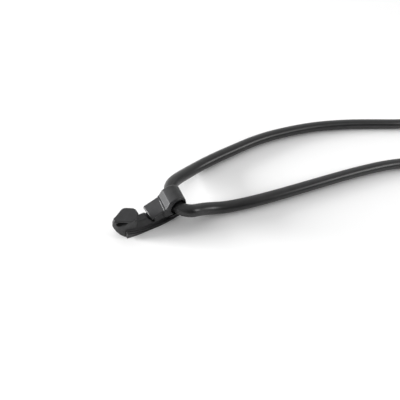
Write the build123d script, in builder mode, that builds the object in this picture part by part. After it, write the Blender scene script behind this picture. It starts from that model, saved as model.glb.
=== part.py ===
"""Silicone cable tie: a moulded hook clip with an eye, and an endless round silicone cord held in the eye.

Frame: +X runs along the clip from the hook towards the eye, +Y across it, +Z up.
The origin is at the bottom centre of the clip, on the surface that it stands on. Millimetres.
"""
import os
from math import pi, radians, sqrt, tan

from build123d import *

# ---- clip: overall ---------------------------------------------------------------------------
CLIP_WIDTH = 4.2            # across the hook and the tongue
NOSE_X = -9.95              # left end of the hook, and its height
NOSE_Z = 4.8
NOSE_TOP_X = -9.5           # left end of the hook at the top of its head
NOSE_CURVE = (-9.15, 2.5)   # a point that the curve from the heel up to the nose passes through
NOSE_EDGE_X = -8.0          # where the nose ends and the recessed flank begins, under the head
FLAT_FROM = -3.0            # flat stretch of the bottom that rests on a surface
FLAT_TO = 0.5
HEEL_X = -7.1               # where the curved bottom turns up into the nose
HEEL_RISE = 0.45
FOOT_X = 8.2                # right end of the base, below the eye, and how far its bottom has risen
FOOT_RISE = 1.45

# ---- hook ------------------------------------------------------------------------------------
ROOT_WIDEST_X = -5.5        # where the pointed part of the hook's root reaches the clip's width
HEAD_WIDTH = 4.9            # corner to corner, before the corners are rounded
HEAD_TOP = 6.2
HEAD_THICKNESS = 0.5
HEAD_TIP_X = -10.1          # the head's corners from above: its point, its widest place and its square end
HEAD_WIDEST_X = -6.0
HEAD_END_X = -3.55
HEAD_END_WIDTH = 2.2
HEAD_CORNER = 1.3           # rounding of the corners at its sides and its end
TIP_RADIUS = 0.35           # rounding of the points of the nose and the head
THROAT_BACK_X = -9.25       # left wall of the throat
THROAT_FLOOR = 4.5
THROAT_CURVE = (-7.7, 4.85)  # a point on the floor of the throat, between its back and its narrow end
PINCH_X = -6.6              # where the throat narrows to a slit
PINCH_GAP = 0.2
MOUTH_TOP = 5.25            # upper side of the slit where it comes out, below the head's lip
MOUTH_GAP = 0.3
BLOCK_END_X = -4.4          # right end of the block that carries the head

# ---- waist between the hook and the tongue -----------------------------------------------------
WAIST_TOP = 3.45
WAIST_TOP_END = 3.35
WAIST_END_X = -1.0          # where the waist's top ends and slopes down to the limb
WAIST_TOP_WIDTH = 1.8
WAIST_FOOT = 1.6            # height at which the waist reaches the limb's full width

# ---- base limb and its bottom flange -----------------------------------------------------------
LIMB_WIDTH = 3.4
LIMB_LEFT_X = 0.1           # upper face of the limb at the waist's foot, and at the eye
LIMB_TOP_LEFT = 1.9
LIMB_TOP_RIGHT = 2.6
FLANGE_WIDTH = 4.7
FLANGE_LEFT = 2.2           # height of the bottom flange at the heel and at the foot
FLANGE_RIGHT = 0.7
FLANGE_LOW_X = -0.9         # lowest point of its upper edge
FLANGE_LOW = 0.95
GROOVE_DROP = 0.28          # groove along each side of the flange, below its upper edge
GROOVE_HEIGHT = 0.35
GROOVE_DEPTH = 0.35

# ---- tongue ------------------------------------------------------------------------------------
TONGUE_X = -0.6             # free end of the tongue: place and upper face
TONGUE_Z = 4.12
TONGUE_ROOT_X = 3.4         # where the tongue meets the eye
TONGUE_ROOT_Z = 5.8
TONGUE_THICKNESS = 0.65
WEDGE_X = 0.4               # thin end of the wedge under the tongue
WEDGE_TOP_WIDTH = 3.6
WEDGE_FOOT_WIDTH = 4.5
SLIT = 0.4                  # parting gap between the wedge and the base limb

# ---- eye ---------------------------------------------------------------------------------------
EYE_WIDTH = 4.9
EYE_X = 6.1
EYE_Z = 4.9
EYE_RADIUS = 3.25
EYE_WALL_X = 4.2            # a place inside the left wall of the eye, where the tongue and the wedge end
EYE_LEAN = 0.42             # how far each end of the eye lies from its middle, the far end towards +X
RISER_X = 3.35              # flat face that rises from the tongue to the top of the eye: its foot
RISER_SLOPE = 65            # degrees
HOLE_X = 6.85
HOLE_Z = 5.0
HOLE_PLAY_ALONG = 0.3       # clearance round the cord in the hole, along the clip and upwards
HOLE_PLAY_UP = 0.6

# ---- edges -------------------------------------------------------------------------------------
HEAD_EDGE = 0.2
EYE_EDGE = 0.4
HOLE_EDGE = 0.25
TONGUE_EDGE = 0.15
TINY = 0.001                # tolerance for picking faces and edges by place

# ---- cord --------------------------------------------------------------------------------------
CORD_DIAMETER = 3.2
CORD_SHARE = 0.45           # share of the shorter run that each arc takes up
CORD_REST = CORD_DIAMETER / 2
CORD_ROUTE = [              # corners of the endless loop, from the near mouth of the eye to its far one
    (6.35, -1.75, 4.8),
    (7.2, -3.75, 4.95),
    (9.1, -4.85, 4.7),
    (12.3, -4.5, 3.4),
    (15.7, -4.7, 2.25),
    (19.4, -5.6, CORD_REST),
    (24.5, -6.8, CORD_REST),
    (31.5, -8.0, CORD_REST),
    (40.5, -9.2, CORD_REST),
    (52.0, -10.6, CORD_REST),
    (65.0, -12.3, CORD_REST),
    (78.5, -14.7, CORD_REST),
    (89.5, -18.2, CORD_REST),
    (98.0, -22.2, CORD_REST),
    (105.1, -24.4, CORD_REST),
    (110.9, -22.9, CORD_REST),
    (114.8, -18.8, CORD_REST),
    (115.9, -13.2, CORD_REST),
    (113.9, -7.9, CORD_REST),
    (109.2, -4.4, CORD_REST),
    (102.0, -2.4, CORD_REST),
    (93.5, 1.1, CORD_REST),
    (82.5, 5.5, CORD_REST),
    (70.5, 9.2, CORD_REST),
    (58.5, 11.3, CORD_REST),
    (46.5, 12.3, CORD_REST),
    (35.5, 11.5, CORD_REST),
    (27.5, 10.8, CORD_REST),
    (21.5, 9.8, CORD_REST + 0.2),
    (16.8, 8.4, 2.6),
    (13.0, 7.1, 3.5),
    (10.0, 5.7, 4.35),
    (8.1, 4.05, 4.75),
    (7.0, 1.85, 4.8),
]

half_clip = CLIP_WIDTH / 2
half_limb = LIMB_WIDTH / 2
half_flange = FLANGE_WIDTH / 2
half_eye = EYE_WIDTH / 2
head_bottom = HEAD_TOP - HEAD_THICKNESS
clear_width = max(half_eye, half_flange) + 1            # cuts reach this far to each side
from_side = Plane.XZ                                    # side profiles; their normal points to -Y
eye_ends = ((Plane.XZ.offset(half_eye), -EYE_LEAN), (Plane.XZ.offset(-half_eye), EYE_LEAN))


def rise(run, radius):
    """How far an arc of this radius, tangent to the flat bottom, has risen after this run."""
    return radius - sqrt(radius**2 - run**2)


heel_run = FLAT_FROM - HEEL_X
heel_radius = (heel_run**2 + HEEL_RISE**2) / (2 * HEEL_RISE)
foot_run = FOOT_X - FLAT_TO
foot_radius = (foot_run**2 + FOOT_RISE**2) / (2 * FOOT_RISE)


def limb_top(x):
    """Height of the limb's upper face under the tongue."""
    return LIMB_TOP_LEFT + (LIMB_TOP_RIGHT - LIMB_TOP_LEFT) * (x - LIMB_LEFT_X) / (HOLE_X - LIMB_LEFT_X)


def tongue_bottom(x):
    """Height of the tongue's lower face between its free end and its root."""
    along = (x - TONGUE_X) / (TONGUE_ROOT_X - TONGUE_X)
    return TONGUE_Z + along * (TONGUE_ROOT_Z - TONGUE_Z) - TONGUE_THICKNESS


def flange_top(drop):
    """Curve of the flange's upper edge, lowered by drop, from the heel to the foot."""
    ThreePointArc((HEEL_X, HEEL_RISE + FLANGE_LEFT - drop), (FLANGE_LOW_X, FLANGE_LOW - drop),
                  (FOOT_X, FOOT_RISE + FLANGE_RIGHT - drop))


def side_planes(inner):
    """The two planes at this distance either side of the middle, each with its normal outwards."""
    return Plane.XZ.offset(inner), Plane.XZ.rotated((0, 0, 180)).offset(inner)


with BuildPart() as hook_clip:
    # eye: a barrel across the clip, which leans a little, with an oval hole
    for plane, lean in eye_ends:
        with BuildSketch(plane):
            with Locations((EYE_X + lean, EYE_Z)):
                Circle(EYE_RADIUS)
    loft()
    for plane, lean in eye_ends:
        with BuildSketch(plane):
            with Locations((HOLE_X + lean, HOLE_Z)):
                Ellipse(CORD_DIAMETER / 2 + HOLE_PLAY_ALONG, CORD_DIAMETER / 2 + HOLE_PLAY_UP)
    loft(mode=Mode.SUBTRACT)
    fillet(hook_clip.edges().filter_by(GeomType.CIRCLE), EYE_EDGE)
    fillet(hook_clip.edges().filter_by(GeomType.ELLIPSE), HOLE_EDGE)

    # riser: the barrel is cut flat between the tongue and its top
    riser_height = EYE_Z + EYE_RADIUS - TONGUE_ROOT_Z
    riser_run = riser_height / tan(radians(RISER_SLOPE))
    for plane, lean in eye_ends:
        with BuildSketch(plane):
            with BuildLine():
                Polyline(*[(x + lean, TONGUE_ROOT_Z + z) for x, z in (
                    (RISER_X, 0), (RISER_X + riser_run, riser_height), (EYE_X - EYE_RADIUS, riser_height),
                    (EYE_X - EYE_RADIUS, 0), (RISER_X, 0))])
            make_face()
    loft(mode=Mode.SUBTRACT)

    # root of the hook, pointed in plan towards the nose
    with BuildSketch(Plane.XY) as root_plan:
        with BuildLine():
            TangentArc((ROOT_WIDEST_X, half_clip), (NOSE_X, 0), tangent=(-1, 0))
            TangentArc((ROOT_WIDEST_X, -half_clip), (NOSE_X, 0), tangent=(-1, 0))
            Polyline((ROOT_WIDEST_X, -half_clip), (BLOCK_END_X, -half_clip), (BLOCK_END_X, half_clip),
                     (ROOT_WIDEST_X, half_clip))
        make_face()
        fillet(root_plan.vertices().sort_by(Axis.X)[0], TIP_RADIUS)
    extrude(amount=head_bottom)

    # recessed flanks of the hook, above the flange and behind the nose
    for plane in side_planes(half_limb):
        facing = 1 if plane.z_dir.Y < 0 else -1
        with BuildSketch(plane):
            with BuildLine():
                Polyline(*[(facing * x, z) for x, z in (
                    (NOSE_EDGE_X, HEAD_TOP), (BLOCK_END_X, HEAD_TOP), (BLOCK_END_X, 0),
                    (HEEL_X, 0), (NOSE_EDGE_X, HEAD_TOP))])
            make_face()
        extrude(amount=half_clip, mode=Mode.SUBTRACT)

    # throat: a drop-shaped slot through the hook, which narrows to a slit that slopes down to its mouth
    throat_radius = (head_bottom - THROAT_FLOOR) / 2
    throat_x = THROAT_BACK_X + throat_radius
    with BuildSketch(from_side):
        with BuildLine():
            ThreePointArc((throat_x, head_bottom), (THROAT_BACK_X, head_bottom - throat_radius),
                          (throat_x, THROAT_FLOOR))
            ThreePointArc((throat_x, THROAT_FLOOR), THROAT_CURVE, (PINCH_X, head_bottom - PINCH_GAP))
            Polyline((PINCH_X, head_bottom - PINCH_GAP), (BLOCK_END_X, MOUTH_TOP - MOUTH_GAP),
                     (BLOCK_END_X, MOUTH_TOP), (PINCH_X, head_bottom), (throat_x, head_bottom))
        make_face()
    extrude(amount=clear_width, both=True, mode=Mode.SUBTRACT)

    # head: a plate with a point towards the nose, rounded shoulders and a short square end
    with BuildSketch(Plane.XY.offset(head_bottom)) as head_plan:
        with BuildLine():
            Polyline((HEAD_TIP_X, 0), (HEAD_WIDEST_X, -HEAD_WIDTH / 2), (HEAD_END_X, -HEAD_END_WIDTH / 2),
                     (HEAD_END_X, HEAD_END_WIDTH / 2), (HEAD_WIDEST_X, HEAD_WIDTH / 2), (HEAD_TIP_X, 0))
        make_face()
        fillet(head_plan.vertices().sort_by(Axis.X)[1:], HEAD_CORNER)
        fillet(head_plan.vertices().sort_by(Axis.X)[0], TIP_RADIUS)
    extrude(amount=HEAD_THICKNESS)
    fillet(hook_clip.edges().filter_by_position(Axis.Z, HEAD_TOP - TINY, HEAD_TOP + TINY).filter_by(
        lambda e: (e @ 0.5).X < BLOCK_END_X + half_clip), HEAD_EDGE)

    # waist and base limb, from the side
    with BuildSketch(from_side):
        with BuildLine():
            Polyline((BLOCK_END_X, 0), (BLOCK_END_X, WAIST_TOP), (WAIST_END_X, WAIST_TOP_END),
                     (LIMB_LEFT_X, LIMB_TOP_LEFT), (HOLE_X, LIMB_TOP_RIGHT), (FOOT_X, FOOT_RISE),
                     (FOOT_X, 0), (BLOCK_END_X, 0))
        make_face()
    extrude(amount=half_limb, both=True)

    # the waist narrows towards its top
    for plane in side_planes(0):
        facing = 1 if plane.z_dir.Y < 0 else -1
        with BuildSketch(Plane.YZ.offset(BLOCK_END_X)):
            with BuildLine():
                Polyline(*[(-facing * y, z) for y, z in (
                    (WAIST_TOP_WIDTH / 2, WAIST_TOP), (half_clip, WAIST_TOP), (half_clip, WAIST_FOOT),
                    (half_limb, WAIST_FOOT), (WAIST_TOP_WIDTH / 2, WAIST_TOP))])
            make_face()
        extrude(amount=LIMB_LEFT_X - BLOCK_END_X, mode=Mode.SUBTRACT)

    # bottom flange, tallest at the heel, with a groove along each side
    with BuildSketch(from_side):
        with BuildLine():
            flange_top(0)
            Polyline((FOOT_X, FOOT_RISE + FLANGE_RIGHT), (FOOT_X, 0), (HEEL_X, 0),
                     (HEEL_X, HEEL_RISE + FLANGE_LEFT))
        make_face()
    extrude(amount=half_flange, both=True)
    for side in (1, -1):
        with BuildSketch(from_side.offset(side * (half_flange - GROOVE_DEPTH))):
            with BuildLine():
                flange_top(GROOVE_DROP)
                flange_top(GROOVE_DROP + GROOVE_HEIGHT)
                for x, z in ((HEEL_X, HEEL_RISE + FLANGE_LEFT), (FOOT_X, FOOT_RISE + FLANGE_RIGHT)):
                    Line((x, z - GROOVE_DROP), (x, z - GROOVE_DROP - GROOVE_HEIGHT))
            make_face()
        extrude(amount=side * GROOVE_DEPTH, mode=Mode.SUBTRACT)

    # tongue, pressed down over the limb, and the wedge that fills its root
    with BuildSketch(from_side):
        with BuildLine():
            Polyline((TONGUE_X, TONGUE_Z), (TONGUE_ROOT_X, TONGUE_ROOT_Z), (EYE_WALL_X, TONGUE_ROOT_Z),
                     (EYE_WALL_X, TONGUE_ROOT_Z - TONGUE_THICKNESS),
                     (TONGUE_ROOT_X, TONGUE_ROOT_Z - TONGUE_THICKNESS),
                     (TONGUE_X, TONGUE_Z - TONGUE_THICKNESS), (TONGUE_X, TONGUE_Z))
        make_face()
    extrude(amount=half_clip, both=True)
    tongue_end = hook_clip.faces().filter_by_position(Axis.X, TONGUE_X - TINY, TONGUE_X + TINY)
    fillet(tongue_end.edges(), TONGUE_EDGE)
    for x, top in ((WEDGE_X, tongue_bottom(WEDGE_X)), (EYE_WALL_X, TONGUE_ROOT_Z - TONGUE_THICKNESS)):
        with BuildSketch(Plane.YZ.offset(x)):
            with BuildLine():
                Polyline((-WEDGE_TOP_WIDTH / 2, top), (WEDGE_TOP_WIDTH / 2, top),
                         (WEDGE_FOOT_WIDTH / 2, limb_top(x) + SLIT / 2),
                         (-WEDGE_FOOT_WIDTH / 2, limb_top(x) + SLIT / 2), (-WEDGE_TOP_WIDTH / 2, top))
            make_face()
    loft()

    # parting slit from the hole to the free end of the tongue
    with BuildSketch(from_side):
        with BuildLine():
            Polyline((LIMB_LEFT_X, LIMB_TOP_LEFT), (HOLE_X, LIMB_TOP_RIGHT), (HOLE_X, LIMB_TOP_RIGHT + SLIT),
                     (LIMB_LEFT_X, LIMB_TOP_LEFT + SLIT), (LIMB_LEFT_X, LIMB_TOP_LEFT))
        make_face()
    extrude(amount=clear_width, both=True, mode=Mode.SUBTRACT)

    # everything below the curved bottom and outside the nose is cut away
    with BuildSketch(from_side):
        with BuildLine():
            ThreePointArc((FOOT_X, FOOT_RISE), (FLAT_TO + foot_run / 2, rise(foot_run / 2, foot_radius)),
                          (FLAT_TO, 0))
            Line((FLAT_TO, 0), (FLAT_FROM, 0))
            ThreePointArc((FLAT_FROM, 0), (FLAT_FROM - heel_run / 2, rise(heel_run / 2, heel_radius)),
                          (HEEL_X, HEEL_RISE))
            ThreePointArc((HEEL_X, HEEL_RISE), NOSE_CURVE, (NOSE_X, NOSE_Z))
            Polyline((NOSE_X, NOSE_Z), (NOSE_TOP_X, HEAD_TOP), (NOSE_TOP_X, HEAD_TOP + 1),
                     (NOSE_X - 1, HEAD_TOP + 1), (NOSE_X - 1, -1), (FOOT_X, -1), (FOOT_X, FOOT_RISE))
        make_face()
    extrude(amount=clear_width, both=True, mode=Mode.SUBTRACT)
hook_clip.part.label = "hook_clip"

os.makedirs("parts", exist_ok=True)
export_step(hook_clip.part, "parts/hook_clip.step")
print("clip", round(hook_clip.part.volume, 1), "mm3, solids", len(hook_clip.part.solids()))

# ---- cord --------------------------------------------------------------------------------------
points = [Vector(*p) for p in CORD_ROUTE]
radii = []
for before, corner, after in zip(points[-1:] + points[:-1], points, points[1:] + points[:1]):
    turn = (corner - before).get_angle(after - corner)
    shorter = min((corner - before).length, (after - corner).length)
    radii.append(CORD_SHARE * shorter / tan(radians(turn) / 2))
print("cord radii", " ".join(f"{r:.1f}" for r in radii))

# the endless loop is swept as two lengths, which meet in the eye and halfway along a run of the far bend
bend = len(points) // 2
in_eye = (points[-1] + points[0]) / 2
in_bend = (points[bend - 1] + points[bend]) / 2
length = 0
with BuildPart() as cord_loop:
    for start, first, last, end in ((in_eye, 0, bend, in_bend), (in_bend, bend, len(points), in_eye)):
        with BuildLine() as cord_path:
            FilletPolyline(start, *points[first:last], end, radius=radii[first:last])
        centreline = cord_path.wire()
        length += centreline.length
        with BuildSketch(Plane(origin=centreline @ 0, z_dir=centreline % 0)):
            Circle(CORD_DIAMETER / 2)
        sweep(path=centreline)
cord_loop.part.label = "cord_loop"
export_step(cord_loop.part, "parts/cord_loop.step")
print("cord centreline", round(length, 1), "mm, volume", round(cord_loop.part.volume, 1),
      "mm3, section times length", round(length * pi * CORD_DIAMETER**2 / 4, 1))
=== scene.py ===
"""Looks of the silicone cable tie: a moulded black hook clip and an endless black silicone cord.

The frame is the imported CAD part, in metres: +X along the clip from the hook to the eye, +Y across it, +Z up.
Sizes and places that are marked mm are in millimetres, and the rest are in metres and watts.
"""

import bmesh
import bpy
from mathutils import Matrix, Vector


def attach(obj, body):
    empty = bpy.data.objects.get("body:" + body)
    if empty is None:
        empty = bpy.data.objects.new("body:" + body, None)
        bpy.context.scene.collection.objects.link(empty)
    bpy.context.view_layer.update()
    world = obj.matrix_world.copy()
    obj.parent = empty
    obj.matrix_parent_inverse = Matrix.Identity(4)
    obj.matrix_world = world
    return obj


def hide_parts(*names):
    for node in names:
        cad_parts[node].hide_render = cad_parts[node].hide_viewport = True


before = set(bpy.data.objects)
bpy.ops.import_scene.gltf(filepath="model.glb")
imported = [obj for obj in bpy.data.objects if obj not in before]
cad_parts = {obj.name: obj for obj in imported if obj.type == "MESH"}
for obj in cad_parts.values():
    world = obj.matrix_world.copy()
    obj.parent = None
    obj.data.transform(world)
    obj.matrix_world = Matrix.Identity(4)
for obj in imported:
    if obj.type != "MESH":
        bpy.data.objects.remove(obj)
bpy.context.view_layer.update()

MM = 0.001

# ---- camera ------------------------------------------------------------------------------------
CAMERA_PLACE = (-39.46, -54.40, 83.44)          # mm
CAMERA_RIGHT = (0.81086, -0.55937, 0.17207)
CAMERA_FORWARD = (0.48602, 0.47984, -0.73044)
LENS = 38.7                                     # mm
SENSOR = 36                                     # mm
CLIP_START = 0.005

# ---- cord --------------------------------------------------------------------------------------
CORD_DIAMETER = 3.2                             # mm
CORD_REST = CORD_DIAMETER / 2                   # height of its middle where it lies on the floor
IN_EYE = (6.75, 0.05, 4.75)                     # where the two ends of the line meet, mm
CORD_ROUTE = [                                  # from the near mouth of the eye round to the far one, mm
    (6.35, -1.75, 4.8),
    (7.2, -3.75, 4.95),
    (9.1, -4.85, 4.7),
    (12.3, -4.5, 3.4),
    (15.7, -4.7, 2.25),
    (19.4, -5.6, CORD_REST),
    (24.5, -6.8, CORD_REST),
    (31.5, -8.0, CORD_REST),
    (40.5, -9.2, CORD_REST),
    (52.0, -10.6, CORD_REST),
    (65.0, -12.3, CORD_REST),
    (78.5, -14.7, CORD_REST),
    (89.5, -18.2, CORD_REST),
    (98.0, -22.2, CORD_REST),
    (105.1, -24.4, CORD_REST),
    (110.9, -22.9, CORD_REST),
    (114.8, -18.8, CORD_REST),
    (115.9, -13.2, CORD_REST),
    (113.9, -7.9, CORD_REST),
    (109.2, -4.4, CORD_REST),
    (102.0, -2.4, CORD_REST),
    (93.5, 1.1, CORD_REST),
    (82.5, 5.5, CORD_REST),
    (70.5, 9.2, CORD_REST),
    (58.5, 11.3, CORD_REST),
    (46.5, 12.3, CORD_REST),
    (35.5, 11.5, CORD_REST),
    (27.5, 10.8, CORD_REST),
    (21.5, 9.8, CORD_REST + 0.2),
    (16.8, 8.4, 2.6),
    (13.0, 7.1, 3.5),
    (10.0, 5.7, 4.35),
    (8.1, 4.05, 4.75),
    (7.0, 1.85, 4.8),
]
CORD_STEPS = 12                                 # steps of the mesh along each span, and round a quarter
CORD_ROUND = 8

# ---- clip --------------------------------------------------------------------------------------
WELD_DISTANCE = 0.0001                          # mm
CLIP_VOXEL = 0.08                               # mm
CLIP_SMOOTHING = 2                              # passes that round the moulded edges
SMOOTHING_FACTOR = 0.5

# ---- materials: greys, then the size of the noise in features to the metre ------------------------
PLASTIC_DARK = (0.026, 0.026, 0.027, 1)
PLASTIC_PALE = (0.034, 0.034, 0.035, 1)
PLASTIC_TONE_SCALE = 900
PLASTIC_GRAIN_SCALE = 9000
PLASTIC_ROUGHNESS = (0.26, 0.36)
PLASTIC_GRAIN_DEPTH = 0.000008
PLASTIC_IOR = 1.5
PLASTIC_SPECULAR = 0.25
SILICONE_DARK = (0.012, 0.012, 0.0125, 1)
SILICONE_PALE = (0.018, 0.018, 0.0185, 1)
SILICONE_TONE_SCALE = 500
SILICONE_GRAIN_SCALE = 7000
SILICONE_ROUGHNESS = (0.3, 0.4)
SILICONE_GRAIN_DEPTH = 0.00001
SILICONE_IOR = 1.43
NOISE_LOW = 0.3                                 # the part of the noise that is spread over a range
NOISE_HIGH = 0.7
FLOOR_WHITE = (0.93, 0.93, 0.93, 1)
FLOOR_ROUGHNESS = 0.9
FLOOR_SPECULAR = 0.2

# ---- stage and light ---------------------------------------------------------------------------
FLOOR_REACH = 4
WORLD_BRIGHT_SIDE = (0.0, 0.75, 0.66)           # direction from which the surroundings are brightest
WORLD_BLEND = (-0.25, 0.75)                     # how far towards it they start and stop brightening
WORLD_FRONT = 0.02
WORLD_BACK = 0.95
LAMPS = {                                       # place, aim, size and power
    "left_lamp": ((-0.62, 0.34, 0.10), (0, 0, 0), (0.26, 0.20), 17.0),
    "front_lamp": ((0.52, -0.38, 0.27), (0.09, 0, 0), (0.24, 0.15), 1.5),
}


def add_object(name, data):
    thing = bpy.data.objects.new(name, data)
    bpy.context.collection.objects.link(thing)
    return thing


# ---- materials ---------------------------------------------------------------------------------
def new_material(name):
    material = bpy.data.materials.new(name)
    material.use_nodes = True
    nodes = material.node_tree.nodes
    return material, nodes, material.node_tree.links.new, nodes["Principled BSDF"]


def add_noise(nodes, link, scale, detail, roughness):
    """Noise in the object's own space, with features about 1/scale metres across."""
    place = nodes.new("ShaderNodeTexCoord")
    noise = nodes.new("ShaderNodeTexNoise")
    noise.inputs["Scale"].default_value = scale
    noise.inputs["Detail"].default_value = detail
    noise.inputs["Roughness"].default_value = roughness
    link(place.outputs["Object"], noise.inputs["Vector"])
    return noise.outputs["Fac"]


def add_range(nodes, link, noise, low, high):
    spread = nodes.new("ShaderNodeMapRange")
    spread.inputs["From Min"].default_value = NOISE_LOW
    spread.inputs["From Max"].default_value = NOISE_HIGH
    spread.inputs["To Min"].default_value = low
    spread.inputs["To Max"].default_value = high
    link(noise, spread.inputs["Value"])
    return spread.outputs["Result"]


def add_tone(nodes, link, shader, scale, dark, pale):
    """Base colour that wanders between two greys."""
    colour = nodes.new("ShaderNodeMix")
    colour.data_type = "RGBA"
    colour.inputs["A"].default_value = dark
    colour.inputs["B"].default_value = pale
    tone = add_noise(nodes, link, scale, detail=3, roughness=0.5)
    link(add_range(nodes, link, tone, 0, 1), colour.inputs["Factor"])
    link(colour.outputs["Result"], shader.inputs["Base Color"])


def add_grain(nodes, link, shader, scale, roughness, depth):
    """Fine grain, in the roughness and as a shallow bump."""
    grain = add_noise(nodes, link, scale, detail=4, roughness=0.6)
    link(add_range(nodes, link, grain, *roughness), shader.inputs["Roughness"])
    bump = nodes.new("ShaderNodeBump")
    bump.inputs["Distance"].default_value = depth
    link(grain, bump.inputs["Height"])
    link(bump.outputs["Normal"], shader.inputs["Normal"])


def clip_material():
    """Black moulded plastic, satin, with a fine mould grain."""
    material, nodes, link, shader = new_material("clip_plastic")
    add_tone(nodes, link, shader, PLASTIC_TONE_SCALE, PLASTIC_DARK, PLASTIC_PALE)
    add_grain(nodes, link, shader, PLASTIC_GRAIN_SCALE, PLASTIC_ROUGHNESS, PLASTIC_GRAIN_DEPTH)
    shader.inputs["IOR"].default_value = PLASTIC_IOR
    shader.inputs["Specular IOR Level"].default_value = PLASTIC_SPECULAR
    return material


def cord_material():
    """Black silicone rubber, softly shining."""
    material, nodes, link, shader = new_material("cord_silicone")
    add_tone(nodes, link, shader, SILICONE_TONE_SCALE, SILICONE_DARK, SILICONE_PALE)
    add_grain(nodes, link, shader, SILICONE_GRAIN_SCALE, SILICONE_ROUGHNESS, SILICONE_GRAIN_DEPTH)
    shader.inputs["IOR"].default_value = SILICONE_IOR
    return material


def floor_material():
    """Matt white studio floor."""
    material, _, _, shader = new_material("floor_white")
    shader.inputs["Base Color"].default_value = FLOOR_WHITE
    shader.inputs["Roughness"].default_value = FLOOR_ROUGHNESS
    shader.inputs["Specular IOR Level"].default_value = FLOOR_SPECULAR
    return material


# ---- pieces ------------------------------------------------------------------------------------
def make_cord():
    """The endless cord, as one smooth line from the eye round to the eye again."""
    line = bpy.data.curves.new("cord", "CURVE")
    line.dimensions = "3D"
    route = [IN_EYE, *CORD_ROUTE, IN_EYE]
    spline = line.splines.new("NURBS")
    spline.points.add(len(route) - 1)
    for point, (x, y, z) in zip(spline.points, route):
        point.co = (x * MM, y * MM, z * MM, 1)
    spline.order_u = 3
    spline.use_endpoint_u = True
    spline.resolution_u = CORD_STEPS
    line.bevel_depth = CORD_DIAMETER / 2 * MM
    line.bevel_resolution = CORD_ROUND
    line.use_fill_caps = True
    line.materials.append(cord_material())
    cord = add_object("cord", line)
    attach(cord, "root")
    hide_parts("cord_loop")


def weld(mesh):
    """A copy of the mesh with the faces joined at their shared corners."""
    welded = bmesh.new()
    welded.from_mesh(mesh)
    bmesh.ops.remove_doubles(welded, verts=welded.verts, dist=WELD_DISTANCE * MM)
    copy = bpy.data.meshes.new("clip_body")
    welded.to_mesh(copy)
    welded.free()
    return copy


def make_clip(node):
    """The moulded clip: the CAD solid's own surface, with its edges softened as a mould leaves them."""
    clip = add_object("clip_body", weld(node.data))
    remesh = clip.modifiers.new("remesh", "REMESH")
    remesh.mode = "VOXEL"
    remesh.voxel_size = CLIP_VOXEL * MM
    soften = clip.modifiers.new("soften", "SMOOTH")
    soften.factor = SMOOTHING_FACTOR
    soften.iterations = CLIP_SMOOTHING
    graph = bpy.context.evaluated_depsgraph_get()
    clip.data = bpy.data.meshes.new_from_object(clip.evaluated_get(graph), depsgraph=graph)
    clip.modifiers.clear()
    clip.data.materials.clear()
    clip.data.materials.append(clip_material())
    clip.data.shade_smooth()
    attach(clip, "root")
    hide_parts("hook_clip")


# ---- stage -------------------------------------------------------------------------------------
def make_floor():
    corners = [(x * FLOOR_REACH, y * FLOOR_REACH, 0) for x, y in ((-1, -1), (1, -1), (1, 1), (-1, 1))]
    mesh = bpy.data.meshes.new("floor")
    mesh.from_pydata(corners, [], [(0, 1, 2, 3)])
    mesh.materials.append(floor_material())
    add_object("floor", mesh)


def make_world():
    """Soft studio surroundings: bright overhead and behind, dim in front."""
    world = bpy.data.worlds.new("studio")
    world.use_nodes = True
    nodes, link = world.node_tree.nodes, world.node_tree.links.new
    place = nodes.new("ShaderNodeTexCoord")
    turn = nodes.new("ShaderNodeVectorMath")
    turn.operation = "DOT_PRODUCT"
    turn.inputs[1].default_value = WORLD_BRIGHT_SIDE
    link(place.outputs["Generated"], turn.inputs[0])
    spread = nodes.new("ShaderNodeMapRange")
    spread.interpolation_type = "SMOOTHSTEP"
    spread.inputs["From Min"].default_value = WORLD_BLEND[0]
    spread.inputs["From Max"].default_value = WORLD_BLEND[1]
    spread.inputs["To Min"].default_value = WORLD_FRONT
    spread.inputs["To Max"].default_value = WORLD_BACK
    link(turn.outputs["Value"], spread.inputs["Value"])
    link(spread.outputs["Result"], nodes["Background"].inputs["Strength"])
    nodes["Background"].inputs["Color"].default_value = (1, 1, 1, 1)
    bpy.context.scene.world = world


def make_lamp(name, place, aim, size, power):
    lamp = bpy.data.lights.new(name, "AREA")
    lamp.shape = "RECTANGLE"
    lamp.size, lamp.size_y = size
    lamp.energy = power
    holder = add_object(name, lamp)
    holder.location = place
    holder.rotation_euler = (Vector(aim) - Vector(place)).to_track_quat("-Z", "Y").to_euler()


def make_camera():
    camera = add_object("camera", bpy.data.cameras.new("camera"))
    right, forward = Vector(CAMERA_RIGHT), Vector(CAMERA_FORWARD)
    up = right.cross(forward).normalized()
    turn = Matrix((right, up, -forward)).transposed()
    camera.matrix_world = Matrix.Translation(Vector(CAMERA_PLACE) * MM) @ turn.to_4x4()
    camera.data.sensor_width = SENSOR
    camera.data.lens = LENS
    camera.data.clip_start = CLIP_START
    bpy.context.scene.camera = camera


make_camera()
make_cord()
make_clip(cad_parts["hook_clip"])
make_floor()
make_world()
for lamp_name, setting in LAMPS.items():
    make_lamp(lamp_name, *setting)

bpy.context.scene.view_settings.view_transform = "Standard"
